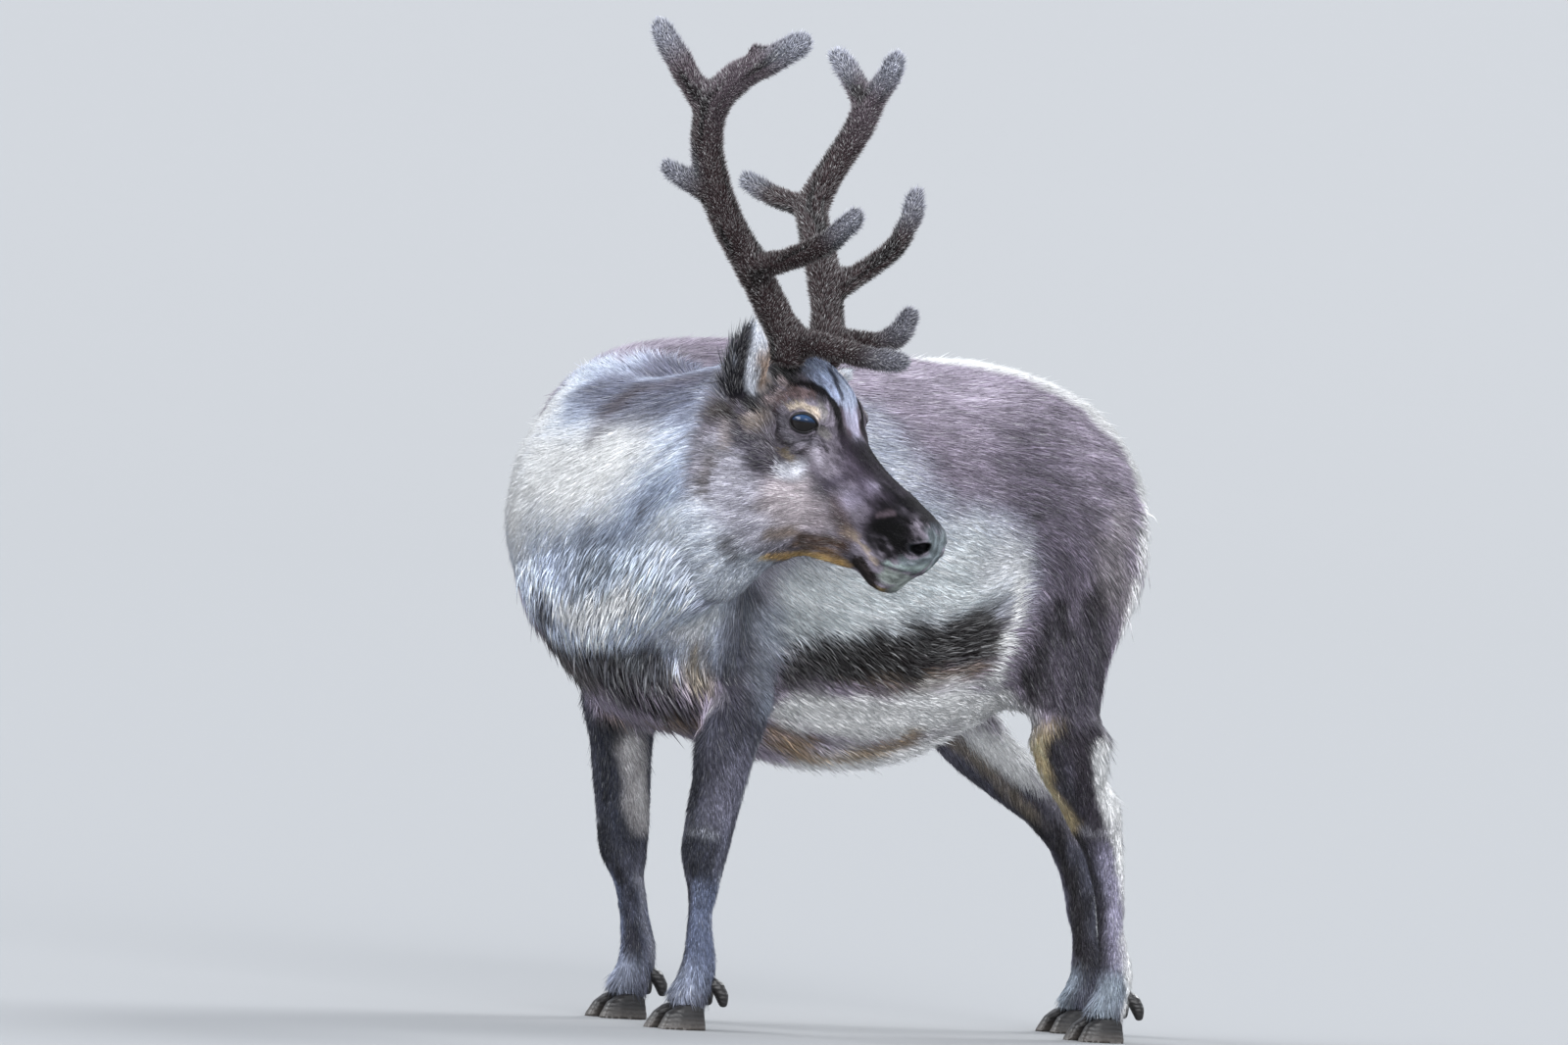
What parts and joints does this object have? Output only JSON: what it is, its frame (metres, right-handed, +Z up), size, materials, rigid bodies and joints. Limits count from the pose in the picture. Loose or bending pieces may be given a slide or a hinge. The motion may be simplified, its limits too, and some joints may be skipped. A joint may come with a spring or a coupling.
{
  "type": "reindeer",
  "caption": "Life-size standing reindeer with velvet antlers, head turned back over its left shoulder, hind legs in a stride.",
  "frame": {"origin": "middle of the model's box on the floor that its claws stand on", "axes": "+Z up, -Y the way the trunk faces, +X the animal's left"},
  "size_m": [0.6718, 1.0492, 1.202],
  "materials": {
    "coat": "short to medium fur, mauve-grey back, pale neck, cream belly and dark legs",
    "velvet": "dark brown-grey antler velvet with pale fuzzy tips",
    "claw": "dark satin horn",
    "eye": "wet, glossy, blue-black"
  },
  "bodies": {
    "root": {"trunk": "coat", "neck": "coat", "head": "coat", "tail": "coat", "ear_left": "coat", "ear_right": "coat", "leg_front_left_upper": "coat", "leg_front_left_cannon": "coat", "leg_front_left_foot": "coat", "leg_front_right_upper": "coat", "leg_front_right_cannon": "coat", "leg_front_right_foot": "coat", "leg_hind_left_upper": "coat", "leg_hind_left_cannon": "coat", "leg_hind_left_foot": "coat", "leg_hind_right_upper": "coat", "leg_hind_right_cannon": "coat", "leg_hind_right_foot": "coat", "claw_front_left_a": "claw", "dewclaw_front_left_a": "claw", "claw_front_left_b": "claw", "dewclaw_front_left_b": "claw", "claw_front_right_a": "claw", "dewclaw_front_right_a": "claw", "claw_front_right_b": "claw", "dewclaw_front_right_b": "claw", "claw_hind_left_a": "claw", "dewclaw_hind_left_a": "claw", "claw_hind_left_b": "claw", "dewclaw_hind_left_b": "claw", "claw_hind_right_a": "claw", "dewclaw_hind_right_a": "claw", "claw_hind_right_b": "claw", "dewclaw_hind_right_b": "claw", "eye_left": "eye", "antler_left_base": "velvet", "antler_left_beam": "velvet", "antler_left_palm": "velvet", "antler_left_crown": "velvet", "antler_left_rear": "velvet", "antler_left_bez": "velvet", "antler_left_brow": "velvet", "eye_right": "eye", "antler_right_base": "velvet", "antler_right_beam": "velvet", "antler_right_palm": "velvet", "antler_right_crown": "velvet", "antler_right_rear": "velvet", "antler_right_bez": "velvet", "antler_right_brow": "velvet"}
  },
  "joints": []
}
